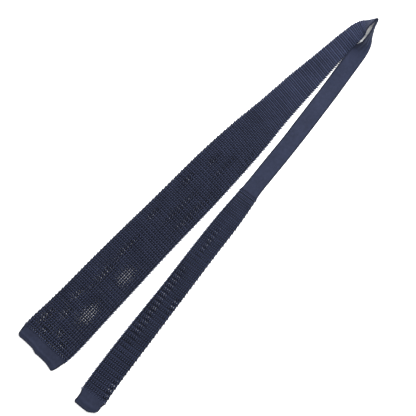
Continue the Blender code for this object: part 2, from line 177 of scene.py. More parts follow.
# The close knit of the neckband and hems.
BAND_WALES = 32
BAND_COURSE = 1.2
BAND_RELIEF = 0.26
HEM_COURSE = 1.15
HEM_RELIEF = 0.34
FRONT_HEM_WALES = 104
TAIL_HEM_WALES = 54
BAND_OVER = (0.35, 0.25)  # how far it reaches past the pressed outer and inner edges
HEM_ROUND = 1.4           # the rounding of a hem's end edge
HEM_SHUT = 0.004          # the square of the share of the thickness that is left at its very end
RIDGE, GROOVE = 0.25, 0.16  # relief of a hem's turned-in edge, as it shows on the face
CREASE = 0.5              # height of the creases in the neckband's bend
CREASE_PITCH = 7.5
CREASE_DRIFT = 11.0       # how far along the band they move over by a radian
RIM_SHADE, NOSE_SHADE, TIP_SHADE = 0.75, 0.7, 0.6  # light lost at a tube's edges, in the nose, at a hem's end
CREASE_SHADE = 1.3        # light gained and lost on the creases, for each mm of their height

FOLD_ZONE = (4.0, 7.0)    # the stretch of cloth that bends at a fold, on the still and the moving side

# Where the layers' holes lie over each other: (s, v) of the middle, half the length, half the width, and how
# much so in which courses, as the share in an average course and its swing to full and slack ones.
MOST = (0.75, 0.25)
EVERY_SECOND = (0.55, 0.45)
FRONT_OPEN = [
    (-592, 53, 23, 12, MOST), (-518, 53, 23, 11, MOST), (-540, 28, 24, 4.5, EVERY_SECOND),
    (-490, 24, 26, 4.5, EVERY_SECOND), (-655, 59, 7, 6, EVERY_SECOND), (-655, 26, 7, 7, EVERY_SECOND),
    (-645, 44, 7, 6, EVERY_SECOND), (-618, 29, 10, 5, EVERY_SECOND), (-585, 21, 12, 4, EVERY_SECOND),
    (-430, 16, 14, 4.5, EVERY_SECOND), (-395, 54, 45, 5, EVERY_SECOND), (-362, 15, 14, 4.5, EVERY_SECOND),
    (-398, 36, 38, 5, EVERY_SECOND), (-314, 39, 24, 5, EVERY_SECOND), (-275, 53, 10, 4, EVERY_SECOND),
    (-315, 21, 12, 4, EVERY_SECOND), (-640, 12, 16, 5, EVERY_SECOND),
]
TAIL_OPEN = [
    (480, 26, 40, 7.5, EVERY_SECOND), (550, 25, 45, 7.5, EVERY_SECOND), (505, 6, 18, 4, EVERY_SECOND),
    (652, 6, 24, 4, EVERY_SECOND), (400, 20, 34, 5, EVERY_SECOND),
]


def smoothstep(x):
    """0 up to 0, 1 from 1 on, and a smooth rise between."""
    x = np.clip(x, 0.0, 1.0)
    return x * x * (3 - 2 * x)


def bell(x, middle, reach):
    """1 at middle, fading to 0 on both sides."""
    return np.exp(-(((x - middle) / reach) ** 2))


def read_table(table, s):
    """Cubic reading of a (s, value) table, with each knot's slope taken from its neighbours."""
    at, value = np.array(table, float).T
    s = np.asarray(s, float)
    i = np.clip(np.searchsorted(at, s, side="right") - 1, 0, len(at) - 2)
    before, after = np.maximum(i - 1, 0), np.minimum(i + 2, len(at) - 1)
    run = at[i + 1] - at[i]
    slope0 = (value[i + 1] - value[before]) / (at[i + 1] - at[before])
    slope1 = (value[after] - value[i]) / (at[after] - at[i])
    t = (s - at[i]) / run
    level = value[i] == value[i + 1]
    bend = np.where(level, 0.0, run * t * (1 - t) * (slope0 * (1 - t) - slope1 * t))
    return value[i] + (value[i + 1] - value[i]) * smoothstep(t) + bend


def through(points, steps):
    """A smooth curve through points, with steps points from each to the next one.

    It is made of Hermite pieces, whose slopes come from the neighbours.
    """
    points = np.array(points, float)
    times = np.concatenate([[0], np.cumsum(np.linalg.norm(np.diff(points, axis=0), axis=1))])
    curve = []
    for i in range(len(points) - 1):
        slopes = []
        for k in (i, i + 1):
            lo, hi = max(k - 1, 0), min(k + 1, len(points) - 1)
            slopes.append((points[hi] - points[lo]) / (times[hi] - times[lo]))
        run = times[i + 1] - times[i]
        t = (np.arange(steps) / steps)[:, None]
        bend = run * t * (1 - t) * (slopes[0] * (1 - t) - slopes[1] * t)
        curve.append(points[i] + (points[i + 1] - points[i]) * smoothstep(t) + bend)
    return np.concatenate([*curve, points[-1:]])


class Ribbon:
    """The tie's middle layer, from the front end round the nose to the tail end."""

    def __init__(self):
        turn = np.radians(np.linspace(NOSE_FROM, NOSE_TO, NOSE_POINTS))
        nose = np.array(NOSE) + NOSE_RADIUS * np.column_stack([np.cos(turn), np.sin(turn)])
        route = through([*FRONT_EDGE, *nose, *TAIL_EDGE], ROUTE_STEPS)
        places = np.concatenate([[0], np.cumsum(np.linalg.norm(np.diff(route, axis=0), axis=1))])
        places -= places[np.argmin(np.linalg.norm(route - nose[NOSE_POINTS // 2], axis=1))]
        step = np.empty_like(route)
        step[1:-1] = route[2:] - route[:-2]
        step[0], step[-1] = route[1] - route[0], route[-1] - route[-2]
        self.places, self.route = places, route
        self.heading = np.unwrap(np.arctan2(step[:, 1], step[:, 0]))
        self.shift = np.zeros(2)  # until the nose is laid on its hinge
        hinge = np.array(JOINTS["neck_bend_opens"]["pos_m"][:2]) / MM
        self.shift = hinge - self.nose_pivot()

    def plan(self, s):
        """Outer edge and unit heading at s, in plan."""
        place = np.column_stack([np.interp(s, self.places, self.route[:, k]) for k in range(2)])
        angle = np.interp(s, self.places, self.heading)
        return place + self.shift, np.column_stack([np.cos(angle), np.sin(angle)])

    def nose_pivot(self):
        """Where the hinge of the neck bend stands: just outside the nose."""
        place, along = self.plan(np.zeros(1))
        return place[0] + GAP * np.array([-along[0, 1], along[0, 0]])

    def width(self, s):
        return read_table(INNER, s) - read_table(OUTER, s)

    def thickness(self, s):
        return read_table(THICKNESS, s)

    def frame(self, s):
        """Base point in mm, and the directions across and to the face, at each s, as (n, 3) arrays."""
        place, along = self.plan(s)
        lean = np.radians(read_table(LEAN, s))[:, None]
        inward = np.column_stack([along[:, 1], -along[:, 0], np.zeros(len(along))])
        across = inward * np.cos(lean) + UP * np.sin(lean)
        face = UP * np.cos(lean) - inward * np.sin(lean)
        lift = sum(
            rise * smoothstep((level + slope - np.abs(s - centre)) / slope)
            for centre, level, slope, rise in LIFTS
        )
        half = self.thickness(s)[:, None] / 2
        base = np.column_stack([place, lift]) + half * (inward * np.sin(lean) + UP * np.cos(lean))
        base = base + read_table(OUTER, s)[:, None] * across
        return base, across, face

    def spot(self, s, v, h):
        """Points in mm for arrays of s, v and h, with the directions across and to the face there."""
        s, v, h = np.broadcast_arrays(s, v, h)
        base, across, face = (x.reshape(*s.shape, 3) for x in self.frame(np.ravel(s)))
        return base + v[..., None] * across + h[..., None] * face, across, face

    def at(self, s, v, h):
        """A list of world points in metres for arrays of s, v and h."""
        return self.spot(s, v, h)[0].reshape(-1, 3) * MM


RIBBON = Ribbon()


def around(turn, width, half, margin):
    """Place (v, h) and outward normal round the pressed tube, for turn from 0 to 1.

    It starts on the face at the outer edge. half is the centre line's distance from the middle layer,
    and margin how far the cloth stands out beyond that line.
    """
    turn = np.mod(turn, 1.0)
    inset = half + margin
    flat = width - 2 * inset
    bend = np.pi * half
    run = turn * 2 * (flat + bend)
    first = run < flat
    second = (run >= flat) & (run < flat + bend)
    third = (run >= flat + bend) & (run < 2 * flat + bend)
    angle_far = np.pi / 2 - (run - flat) / half
    angle_near = -np.pi / 2 - (run - 2 * flat - bend) / half
    angle = np.select([first, second, third], [np.pi / 2, angle_far, -np.pi / 2], angle_near)
    middle = np.select(
        [first, second, third], [inset + run, width - inset, width - inset - (run - flat - bend)], inset
    )
    straight = first | third
    nv, nh = np.where(straight, 0.0, np.cos(angle)), np.sin(angle)
    return middle + half * nv, half * nh, nv, nh


# ---------------------------------------------------------------- meshes
def stacked(*arrays):
    """Arrays, broadcast together, as the columns of one table."""
    return np.stack(np.broadcast_arrays(*arrays), axis=-1).reshape(-1, len(arrays))


def make_mesh(name, points, quads, uv, caps=()):
    """A smooth mesh object from points in metres, quads, and the faces that cap its ends.

    uv has a row for each point: where it is in the knit or yarn, and perhaps its share of painted light and
    shade, else 1.
    """
    mesh = bpy.data.meshes.new(name)
    sizes = np.concatenate([np.full(len(quads), 4), [len(c) for c in caps]]).astype(np.int32)
    corners = np.concatenate([np.ravel(quads), *[np.asarray(c) for c in caps]]).astype(np.int32)
    mesh.vertices.add(len(points))
    mesh.vertices.foreach_set("co", np.ravel(points).astype(np.float32))
    mesh.loops.add(len(corners))
    mesh.loops.foreach_set("vertex_index", corners)
    mesh.polygons.add(len(sizes))
    starts = np.concatenate([[0], np.cumsum(sizes)[:-1]]).astype(np.int32)
    mesh.polygons.foreach_set("loop_start", starts)
    mesh.polygons.foreach_set("use_smooth", np.full(len(sizes), True))
    raised = uv[corners, 2] if uv.shape[1] > 2 else np.ones(len(corners))
    for layer_name, values in (("yarn", uv[corners, :2]), ("raised", np.column_stack([raised, raised]))):
        layer = mesh.uv_layers.new(name=layer_name)
        layer.data.foreach_set("uv", np.ravel(values).astype(np.float32))
    mesh.update(calc_edges=True)
    mesh.validate()
    made = bpy.data.objects.new(name, mesh)
    bpy.context.collection.objects.link(made)
    return made


def tube_quads(rows, columns):
    """Corner numbers of the quads between rows of points, each of which joins up into a ring."""
    r = np.arange(rows - 1)[:, None]
    c = np.arange(columns)[None, :]
    after = (c + 1) % columns
    return stacked(r * columns + c, r * columns + after, (r + 1) * columns + after, (r + 1) * columns + c)


def end_caps(rows, columns, first=0):
    """Corner numbers of the two faces that close such a tube, whose points start at first."""
    last = first + (rows - 1) * columns
    return [first + np.arange(columns)[::-1], last + np.arange(columns)]


def yarn_tubes(centres, normals, radius, sides, closed):
    """Tubes round yarn paths: their points in mm, quads, uv and end caps.

    centres and normals are (paths, points, 3), radius (paths, points). Closed paths join up and need no caps.
    """
    if closed:
        tangent = np.roll(centres, -1, axis=1) - np.roll(centres, 1, axis=1)
    else:
        tangent = np.gradient(centres, axis=1)
    tangent /= np.linalg.norm(tangent, axis=2, keepdims=True)
    side = np.cross(tangent, normals)
    side /= np.linalg.norm(side, axis=2, keepdims=True)
    rise = np.cross(side, tangent)
    angle = np.arange(sides) / sides * TAU
    ring = (
        side[:, :, None] * np.cos(angle)[None, None, :, None]
        + YARN_FLATNESS * rise[:, :, None] * np.sin(angle)[None, None, :, None]
    )
    points = centres[:, :, None] + radius[:, :, None, None] * ring
    paths, steps = centres.shape[:2]
    k = np.arange(steps if closed else steps - 1)[:, None]
    a = np.arange(sides)[None, :]
    k2, a2 = (k + 1) % steps, (a + 1) % sides
    quad = stacked(k * sides + a, k * sides + a2, k2 * sides + a2, k2 * sides + a)
    quads = quad[None] + (np.arange(paths) * steps * sides)[:, None, None]
    gap = np.linalg.norm(np.diff(centres, axis=1), axis=2)
    length = np.concatenate([np.zeros((paths, 1)), np.cumsum(gap, axis=1)], axis=1)
    uv = stacked(length[:, :, None], np.arange(sides) / sides)
    ends = []
    if not closed:
        for path in range(paths):
            ends += end_caps(steps, sides, path * steps * sides)
    return points.reshape(-1, 3), quads.reshape(-1, 4), uv, ends


def courses(start, end, pitch_start, pitch_end):
    """Places of the courses from start to end, whose pitch changes evenly along the way."""
    mean = (pitch_start + pitch_end) / 2
    count = max(2, round(abs(end - start) / mean))
    steps = np.linspace(pitch_start, pitch_end, count)
    places = np.concatenate([[0], np.cumsum(steps)])
    places = start + (end - start) * places / places[-1]
    return (places[:-1] + places[1:]) / 2


def wobble(index, seed):
    """A fixed irregularity from -1 to 1 for each number in index."""
    return 2 * np.mod(np.sin(index * 12.9898 + seed * 78.233) * 43758.5453, 1.0) - 1


def lying(s):
    """1 where the ribbon lies flat, down to 0 where it stands on its outer edge."""
    return np.cos(np.radians(read_table(LEAN, s)))


def in_step(s, v, full, places):
    """Up to 1 where the two layers' holes lie over each other, which lets the table show through, else 0.

    full is 1 in a full course and -1 in a slack one.
    """
    found = 0.0
    for s0, v0, length, width, (mean, swing) in places:
        near = np.exp(-((((s - s0) / length) ** 2 + ((v - v0) / width) ** 2) ** 1.5))
        found = found + near * (mean + swing * full)
    return np.minimum(found, IN_STEP)


def raised_light(t, full, squeeze):
    """How much light each part of a loop gets: most at its head, least at its foot, more in full courses."""
    mean, head, sides = 0.52, 0.41, 0.13
    in_full, lost_by_squeeze, darker_by_squeeze = 0.22, 0.17, 0.02
    loop = mean - head * np.cos(t) + sides * np.cos(2 * t)
    return loop + full * (in_full - lost_by_squeeze * squeeze) - darker_by_squeeze * squeeze


def open_knit(name, places, first, wales, pitch, dense, places_open):
    """Courses of purl-faced loops round the pressed tube, one yarn for each course.

    first is the number of the first course, so that pieces which follow each other keep one pattern.
    dense(s) is 1 where the loops close up, beside hems and joins. places_open is where the layers' holes line
    up. Elsewhere the layers are half a step apart, each loop of one behind a hole of the other.
    """
    steps = wales * LOOP_STEPS
    t = np.arange(steps) / LOOP_STEPS * TAU
    number = first + np.arange(len(places))[:, None]
    full = np.where(number % 2 == 0, 1.0, -1.0)
    s0 = np.asarray(places)[:, None]
    close = dense(s0)
    width, thick = RIBBON.width(s0) + MESH_OVER[0] + MESH_OVER[1], RIBBON.thickness(s0)
    wale = 2 * (width - thick + EDGE_WAY) / wales
    radius = MESH_YARN * (1 + CLOSE_YARN * close) * np.sqrt(pitch(s0) / USUAL_PITCH)
    radius = np.minimum(radius, YARN_ROOM[0] * wale + YARN_ROOM[1])
    relief = MESH_RELIEF * np.clip(thick / FULL_THICK, THIN_RELIEF, 1)
    relief = relief * (1 + FULL_RELIEF * full) * (1 - CLOSE_RELIEF * close)
    half = thick / 2 - radius * KEEP_IN - relief * KEEP_IN
    tall = LOOP_HEIGHT * pitch(s0) * (1 + UNEVEN * wobble(number, 1) + FULL_HEIGHT * full)
    drift = UNEVEN * wobble(np.arange(steps) // LOOP_STEPS + COURSE_SEED * number, 2)

    even = t / TAU / wales
    flat, bend = width - 2 * (half + radius + relief), np.pi * half
    v0 = around(even, width, half, radius + relief)[0]
    together = in_step(s0, v0, full, places_open)
    apart = STEP_APART * (1 - together)
    aside = apart - wales * bend / (flat + bend) / 4
    ahead = apart * np.tanh(LAYER_TURN * np.sin(TAU * even)) * (1 - close)
    sway = LOOP_SWAY * np.sin(2 * t) + SPLAY * (1 - close) * np.sin(t)
    turn = even + (FULL_LAG * full + sway + DRIFT[0] * drift + aside) / wales
    s = s0 - tall / 2 * np.cos(t) + (DRIFT[1] * drift + ahead) * pitch(s0)
    v, h, nv, nh = around(turn, width, half, radius + relief)

    squeeze = smoothstep((SPREAD_WALE - wale) / SQUEEZE_RUN)
    rib = relief * (RIB[0] + RIB[1] * squeeze) + EDGE_RIB * np.abs(nv)
    out = relief * (1 - SQUEEZED_RELIEF * squeeze) * (np.cos(2 * t) + DRIFT[2] * drift) - rib * np.cos(t)
    out = out + SCALLOP * (1 + full) * (1 - SQUEEZED_SCALLOP * squeeze) * np.abs(nv)
    centre, across, face = RIBBON.spot(s, v - MESH_OVER[0] * lying(s0), h)
    normal = nv[..., None] * across + nh[..., None] * face
    centre = centre + out[..., None] * normal
    drawn = YARN_SIZE - YARN_THINNED * together + YARN_FOOT * np.cos(t)
    thickness = radius * drawn * (1 + UNEVEN_YARN * wobble(number, 3) + FULL_YARN * full)
    points, quads, uv, _ = yarn_tubes(centre, normal, thickness, YARN_SIDES, True)
    # painted light and shade: the loops' heads lighter and their feet darker, kept in the uv for the yarn's
    # colour
    raised = np.broadcast_to(raised_light(t, full, squeeze), s.shape)
    return make_mesh(name, points * MM, quads, np.column_stack([uv, np.repeat(np.ravel(raised), YARN_SIDES)]))


def drawn_out(s, v, width, hem, end, tip):
    """Shift s along a hem, so that its end edge follows tip."""
    reach = (s - hem) / (end - hem)
    return s + math.copysign(1.0, end) * read_table(tip, v / width) * reach


def stitch_relief(wale_at, course_at):
    """The height of plain knit's V-shaped stitches, about 0 to 1. wale_at goes from 0 to 1 over a stitch."""
    roundness, v_shape, swell, gap, groove = 0.8, 0.45, 0.3, 0.1, 0.35
    leg = np.abs(np.sin(TAU * wale_at)) ** roundness
    slant = v_shape * np.abs(2 * wale_at - 1)
    return leg * (1 - swell + swell * np.cos(TAU * (course_at - slant))) - groove * (wale_at < gap)


def shaded_rims(s, v, width):
    """The share of light a close tube gets: less along its two edges, and less in the tight nose."""
    rim = np.minimum(v, width - v)
    return (1 - RIM_SHADE * bell(rim, 0.4, 1.3)) * (1 - NOSE_SHADE * bell(s, 0.0, 5.0))


def close_knit(name, start, end, wales, course, relief, tip=None, crease=None):
    """A tube of close plain knit with its stitches in relief, from start to end.

    With tip, end is the free end of a hem, and the tube rounds shut there. crease(s, v) lifts its face.
    """
    per_wale, per_course = 4, 3
    columns = wales * per_wale
    rows = max(4, round(abs(end - start) / course * per_course)) + 1
    s = start + (end - start) * np.linspace(0, 1, rows)[:, None]
    turn = np.arange(columns)[None, :] / columns
    course_at = (s - start) / course
    out = relief * (stitch_relief(np.mod(turn * wales, 1.0), course_at) - 0.5)
    width = RIBBON.width(s)
    half = RIBBON.thickness(s) / 2 - relief / 2
    if tip:
        near = np.clip(1 - np.abs(end - s) / HEM_ROUND, 0, 1)
        half = half * np.sqrt(np.clip(1 - near**2, HEM_SHUT, 1))
        out = out * (1 - near**3)
    v, h, nv, nh = around(turn, width + sum(BAND_OVER), half, relief / 2)
    v = v - BAND_OVER[0] * lying(s)
    on_face = np.clip(nh, 0, 1)
    if crease:
        out = out + crease(s, v) * on_face
    v, h = v + out * nv, h + out * nh
    s_all = np.broadcast_to(s, v.shape)
    if tip:
        s_all = drawn_out(s_all, np.clip(v, 0, width), width, start, end, tip)
    # painted shade along the tube's rims, in the nose and at a hem's end, and painted light and shade on the
    # creases and hem ridges, kept in the uv for the colour
    raised = shaded_rims(s, v, width)
    if tip:
        raised = raised * (1 - TIP_SHADE * near)
    if crease:
        raised = raised + CREASE_SHADE * crease(s, v) * on_face
    uv = stacked(turn * wales, course_at, raised)
    return make_mesh(name, RIBBON.at(s_all, v, h), tube_quads(rows, columns), uv)


def single_yarn(name, centre, normal, radius, sides, closed):
    """One yarn or thread of even thickness along centre."""
    size = np.full((1, len(centre)), radius)
    points, quads, uv, ends = yarn_tubes(centre[None], normal[None], size, sides, closed)
    return make_mesh(name, points * MM, quads, uv, caps=ends)


def loops_ring(name, s0, stitches, tall, radius, relief):
    """One yarn of small loops round the tube at s0, as an overlocked seam shows."""
    per_stitch = 10
    t = np.arange(stitches * per_stitch) / per_stitch * TAU
    turn = (t / TAU + 0.10 * np.sin(2 * t)) / stitches
    s = s0 - tall / 2 * np.cos(t)
    proud = relief * 0.4
    v, h, nv, nh = around(turn, RIBBON.width(s), RIBBON.thickness(s) / 2 - radius - proud, radius + proud)
    centre, across, face = RIBBON.spot(s, v, h)
    normal = nv[:, None] * across + nh[:, None] * face
    centre = centre + (relief * (0.5 + 0.5 * np.cos(2 * t)))[:, None] * normal
    return single_yarn(name, centre, normal, radius, 6, True)


def thread(name, s, v, h, radius, sides=6):
    """A free-ended thread through the given places on the ribbon."""
    centre, across, face = RIBBON.spot(s, v, h)
    tilt = 0.3  # so that the normal never runs along the thread
    return single_yarn(name, centre, face + tilt * across, radius, sides, False)


def hem_thread(name, hem, end, tip, count):
    """The slip stitches that close a hem's open end, whipped over its edge from layer to layer."""
    reach, inset, radius = 0.9, 0.15, 0.24
    k = np.linspace(0, 1, count * 12 + 1)
    width = float(RIBBON.width(end))
    v = width * (0.05 + 0.9 * k) + 0.5 * np.sin(TAU * count * k)
    h = reach * np.cos(TAU * count * k)
    s = drawn_out(np.full(len(k), end), v, width, hem, end, tip)
    s = s + math.copysign(1.0, end) * (inset - reach * (h / reach) ** 2)
    return thread(name, s, v, h, radius)


def zigzag_seam(name, start, end, pitch, sway, depth):
    """A zigzag of thread along the middle of the back. depth is its height over the underside."""
    count = round((end - start) / pitch)
    k = np.linspace(0, 1, count * 8 + 1)
    s = start + (end - start) * k
    v = RIBBON.width(s) / 2 + sway * np.sin(TAU * count * k)
    return thread(name, s, v, -RIBBON.thickness(s) / 2 + depth, 0.26, 5)


def flat_band(name, s0, size, rib, relief):
    """A small ribbon under the middle of the tie, ribbed along the tie's length."""
    length, across_length, thick = size
    place, along = RIBBON.plan(np.array([s0]))
    ahead, right = along[0], np.array([along[0, 1], -along[0, 0]])
    middle = place[0] + right * float(read_table(OUTER, s0) + RIBBON.width(s0) / 2)
    per_rib, columns = 4, 40
    rows = round(across_length / rib) * per_rib + 1
    turn = np.arange(columns)[None, :] / columns
    run = np.linspace(-0.5, 0.5, rows)[:, None]
    swell = relief * np.cos(TAU * np.arange(rows) / per_rib)[:, None]
    u, z, nu, nz = around(turn, length, thick / 2 - relief, relief)
    u, z = u - length / 2 + swell * nu, z + swell * nz
    across_place = np.broadcast_to(run * across_length, u.shape)
    flat = middle + u[..., None] * ahead + across_place[..., None] * right
    points = np.concatenate([flat, (z + thick / 2)[..., None]], axis=-1).reshape(-1, 3)
    uv = stacked(turn * 2 * length, run * across_length / rib)
    return make_mesh(name, points * MM, tube_quads(rows, columns), uv, caps=end_caps(rows, columns))


def table_below(s):
    """The height h of the table under the ribbon, where the ribbon lies flat over a part below it."""
    lift = RIBBON.frame(s)[0][:, 2] - RIBBON.thickness(s) / 2
    return -RIBBON.thickness(s) / 2 - lift


def bar_tack(name, s0, shift, length, width, height):
    """A bar tack under the tie: close zigzag stitches, length along the ribbon and width across it."""
    turns = 9
    k = np.linspace(0, 1, turns * 8 + 1)
    s = s0 + length * (k - 0.5)
    v = float(RIBBON.width(s0)) / 2 + shift + width / 2 * np.sin(TAU * turns * k)
    return thread(name, s, v, table_below(s) + height / 2, height / 2)


def label_thread(name, s0, size):
    """Running stitches round the label, as one thread that dips in and out."""
    length, width, thick = size
    radius, dip, stitches, steps = 0.17, 0.08, 10, 60
    outside = GAP + 0.3
    a, b = length / 2 + outside, width / 2 + outside
    corners = np.array([(-a, -b), (a, -b), (a, b), (-a, b), (-a, -b)])
    sides = len(corners) - 1
    k = np.linspace(0, sides, sides * steps + 1)
    s = s0 + np.interp(k, range(sides + 1), corners[:, 0])
    v = float(RIBBON.width(s0)) / 2 + np.interp(k, range(sides + 1), corners[:, 1])
    h = table_below(s) + thick / 2 + dip * np.cos(TAU * stitches * k)
    return thread(name, s, v, h, radius)


def tape(name, start, end, margin, half):
    """The woven stay tape inside the neckband, margin in from its edges and half up and down."""
    s = np.arange(start, end + 0.5, 1.0)[:, None]
    share = np.array([0, 0.25, 0.5, 0.75, 1.0, 1.0, 0.75, 0.5, 0.25, 0.0])[None, :]
    h = np.array([-half] * 5 + [half] * 5)[None, :]
    points = RIBBON.at(s, margin + share * (RIBBON.width(s) - 2 * margin), h)
    size = len(s), share.size
    ends_across = 20
    return make_mesh(name, points, tube_quads(*size), stacked(share * ends_across, s), caps=end_caps(*size))


# ---------------------------------------------------------------- materials
SHEEN_TINT = (0.45, 0.55, 0.85)
NAVY = (0.0120, 0.0148, 0.0290)
HEM_NAVY = (0.0118, 0.0146, 0.0290)
BAND_NAVY = (0.0128, 0.0160, 0.0320)
THREAD_NAVY = (0.006, 0.007, 0.014)
TAPE_GREY = (0.16, 0.165, 0.18)
LABEL_GREY = (0.21, 0.215, 0.23)
CLOTH_SPECULAR = 0.08
# Noise scales: shade that changes over the cloth, over a few stitches, and over the fibres.
SLOW, BAND_SLOW, PATCHY, FINE = 35.0, 28.0, 230.0, 2600.0
DEEP = 0.004              # how far up a place between yarns looks for open sky, in metres, for the shade painted there


class Nodes:
    """Short calls to build a shader tree."""

    def __init__(self, name, roughness, sheen, sheen_tint=SHEEN_TINT, specular=CLOTH_SPECULAR):
        self.material = bpy.data.materials.new(name)
        self.material.use_nodes = True
        self.tree = self.material.node_tree
        self.shader = self.tree.nodes["Principled BSDF"]
        self.shader.inputs["Roughness"].default_value = roughness
        self.shader.inputs["Sheen Weight"].default_value = sheen
        self.shader.inputs["Sheen Tint"].default_value = (*sheen_tint, 1)
        self.shader.inputs["Sheen Roughness"].default_value = 0.5
        self.shader.inputs["Specular IOR Level"].default_value = specular

    def add(self, kind, **values):
        node = self.tree.nodes.new(kind)
        for key, value in values.items():
            setattr(node, key, value)
        return node

    def link(self, source, target):
        self.tree.links.new(source, target)

    def math(self, operation, *inputs):
        node = self.add("ShaderNodeMath", operation=operation)
        for socket, value in zip(node.inputs, inputs):
            if isinstance(value, (int, float)):
                socket.default_value = value
            else:
                self.link(value, socket)
        return node.outputs[0]

    def times(self, first, second):
        return self.math("MULTIPLY", first, second)

    def plus(self, first, second):
        return self.math("ADD", first, second)

    def arch(self, value, turn=PI):
        """|sin(value * turn)|, which arches up once for each step of value when turn is PI."""
        return self.math("ABSOLUTE", self.math("SINE", self.times(value, turn)))

    def noise(self, scale, detail=3.0):
        node = self.add("ShaderNodeTexNoise")
        node.inputs["Scale"].default_value = scale
        node.inputs["Detail"].default_value = detail
        self.link(self.add("ShaderNodeTexCoord").outputs["Object"], node.inputs["Vector"])
        return node.outputs["Fac"]

    def open_sky(self, reach):
        """1 where nothing stands within reach above the surface, down to 0 deep between yarns."""
        node = self.add("ShaderNodeAmbientOcclusion", samples=6)
        node.inputs["Distance"].default_value = reach
        return node.outputs["AO"]

    def colour(self, factor, colour, darkest, lightest):
        """Set the surface's colour: darkest times colour where factor is 0, lightest times it at 1."""
        node = self.add("ShaderNodeMix", data_type="RGBA")
        self.link(factor, node.inputs[0])
        for socket, share in ((node.inputs[6], darkest), (node.inputs[7], lightest)):
            socket.default_value = (*(c * share for c in colour), 1)
        self.link(node.outputs[2], self.shader.inputs["Base Color"])

    def uv(self, name="yarn"):
        node = self.add("ShaderNodeUVMap", uv_map=name)
        split = self.add("ShaderNodeSeparateXYZ")
        self.link(node.outputs["UV"], split.inputs[0])
        return split.outputs[0], split.outputs[1]

    def bump(self, height, strength, distance):
        node = self.add("ShaderNodeBump")
        node.inputs["Strength"].default_value = strength
        node.inputs["Distance"].default_value = distance
        self.link(height, node.inputs["Height"])
        self.link(node.outputs["Normal"], self.shader.inputs["Normal"])


def yarn_look(name, colour, roughness=0.62, sheen=0.03, twist=1.7, plies=2):
    """Plied yarn: twist along its length, painted darker between the plies, fibres, slow changes of shade,
    painted light on the loops' heads, and painted shade at their feet and deep between yarns.
    """
    n = Nodes(name, roughness, sheen)
    along, round_it = n.uv()
    ply = n.arch(n.plus(n.math("DIVIDE", along, twist), n.times(round_it, plies)))
    slow = n.noise(SLOW, 2.0)
    fine = n.noise(FINE)
    shade = n.plus(n.times(slow, 0.5), n.times(fine, 0.35))
    # painted light and shade on the twist: lighter on the plies, darker between them
    factor = n.times(shade, n.plus(n.times(ply, 0.35), 0.65))
    # painted light and shade: the colour is lighter on the loops' heads and darker at their feet, from the uv
    raised = n.math("POWER", n.math("MAXIMUM", n.uv("raised")[0], 0.0), 2.0)
    factor = n.times(factor, n.plus(n.times(raised, 4.8), 0.05))
    # painted shade: the colour darkens deep between yarns, where they stand close above
    factor = n.times(factor, n.math("POWER", n.open_sky(DEEP), 3.2))
    n.colour(factor, colour, 0.08, 3.4)
    n.bump(n.plus(ply, n.times(fine, 0.5)), 0.5, 0.00016)
    return n.material


def close_knit_look(name, colour):
    """Fine plain knit: the V of each stitch in painted light and shade, fibres, slow changes of shade, and
    the painted light and shade from the uv.
    """
    n = Nodes(name, 0.6, 0.03)
    wale, course = n.uv()
    side = n.math("ABSOLUTE", n.math("SUBTRACT", n.times(n.math("FRACT", wale), 2.0), 1.0))
    leg = n.arch(wale, TAU)
    beat = n.arch(n.math("SUBTRACT", course, n.times(side, 0.9)))
    stitch = n.times(n.math("POWER", leg, 0.6), n.math("POWER", beat, 0.5))
    slow = n.noise(BAND_SLOW, 2.0)
    fine = n.noise(FINE)
    patchy = n.noise(PATCHY, 2.0)
    shade = n.plus(n.times(slow, 0.4), n.times(fine, 0.25))
    shade = n.plus(shade, n.times(n.math("SUBTRACT", patchy, 0.35), 0.45))
    # painted light on the stitches' legs and painted shade between them, times the painted light and shade
    # from the uv
    lit = n.plus(n.times(stitch, 0.5), 0.7)
    n.colour(n.times(shade, n.times(lit, n.uv("raised")[0])), colour, 0.5, 1.9)
    n.bump(n.plus(stitch, n.times(fine, 0.35)), 0.45, 0.00022)
    return n.material


def ribbon_look(name, colour, depth=0.5):
    """Woven tape: crosswise ribs and fine lengthwise ends."""
    n = Nodes(name, 0.6, 0.1, (0.8, 0.8, 0.85), 0.4)
    across, along = n.uv()
    weave = n.plus(n.times(n.arch(along), 0.6), n.times(n.arch(across, TAU), 0.4))
    n.colour(n.plus(n.times(weave, depth), n.times(n.noise(900.0), 0.4)), colour, 0.6, 1.3)
    n.bump(weave, 0.4, 0.0001)
    return n.material


def plain_look(name, colour):
    """What a piece keeps where its patterned material can't go."""
    n = Nodes(name, 0.7, 0.15)
    n.shader.inputs["Base Color"].default_value = (*colour, 1)
    return n.material


LOOKS = {
    "navy_mesh_knit": (yarn_look("mesh_yarn", NAVY), plain_look("mesh_yarn_plain", NAVY)),
    "navy_dense_knit": (close_knit_look("hem_knit", HEM_NAVY), plain_look("hem_knit_plain", HEM_NAVY)),
    "neckband_knit": (close_knit_look("band_knit", BAND_NAVY), plain_look("band_knit_plain", BAND_NAVY)),
    "seam_thread": (
        yarn_look("sewing_thread", THREAD_NAVY, 0.5, 0.05, 0.8, 3),
        plain_look("sewing_thread_plain", THREAD_NAVY),
    ),
    "stay_tape": (ribbon_look("woven_tape", TAPE_GREY), plain_look("woven_tape_plain", TAPE_GREY)),
    "blank_label": (ribbon_look("satin_label", LABEL_GREY, 0.3), plain_look("satin_label_plain", LABEL_GREY)),
}


def dress(piece, slot):
    """Give a piece its patterned material, over a plain one of the same colour in its mesh."""
    look, plain = LOOKS[slot]
    piece.data.materials.clear()
    piece.data.materials.append(plain)
    piece.material_slots[0].link = "OBJECT"
    piece.material_slots[0].material = look
    return piece


# ---------------------------------------------------------------- folds
def fold_ends(s0, towards):
    """Where the cloth's bend at a fold starts and ends, as world points. towards is +1 or -1 along s."""
    middle = float(RIBBON.width(s0)) / 2
    still, moving = FOLD_ZONE
    return tuple(tuple(RIBBON.at(s, middle, 0.0)[0]) for s in (s0 - towards * still, s0 + towards * moving))


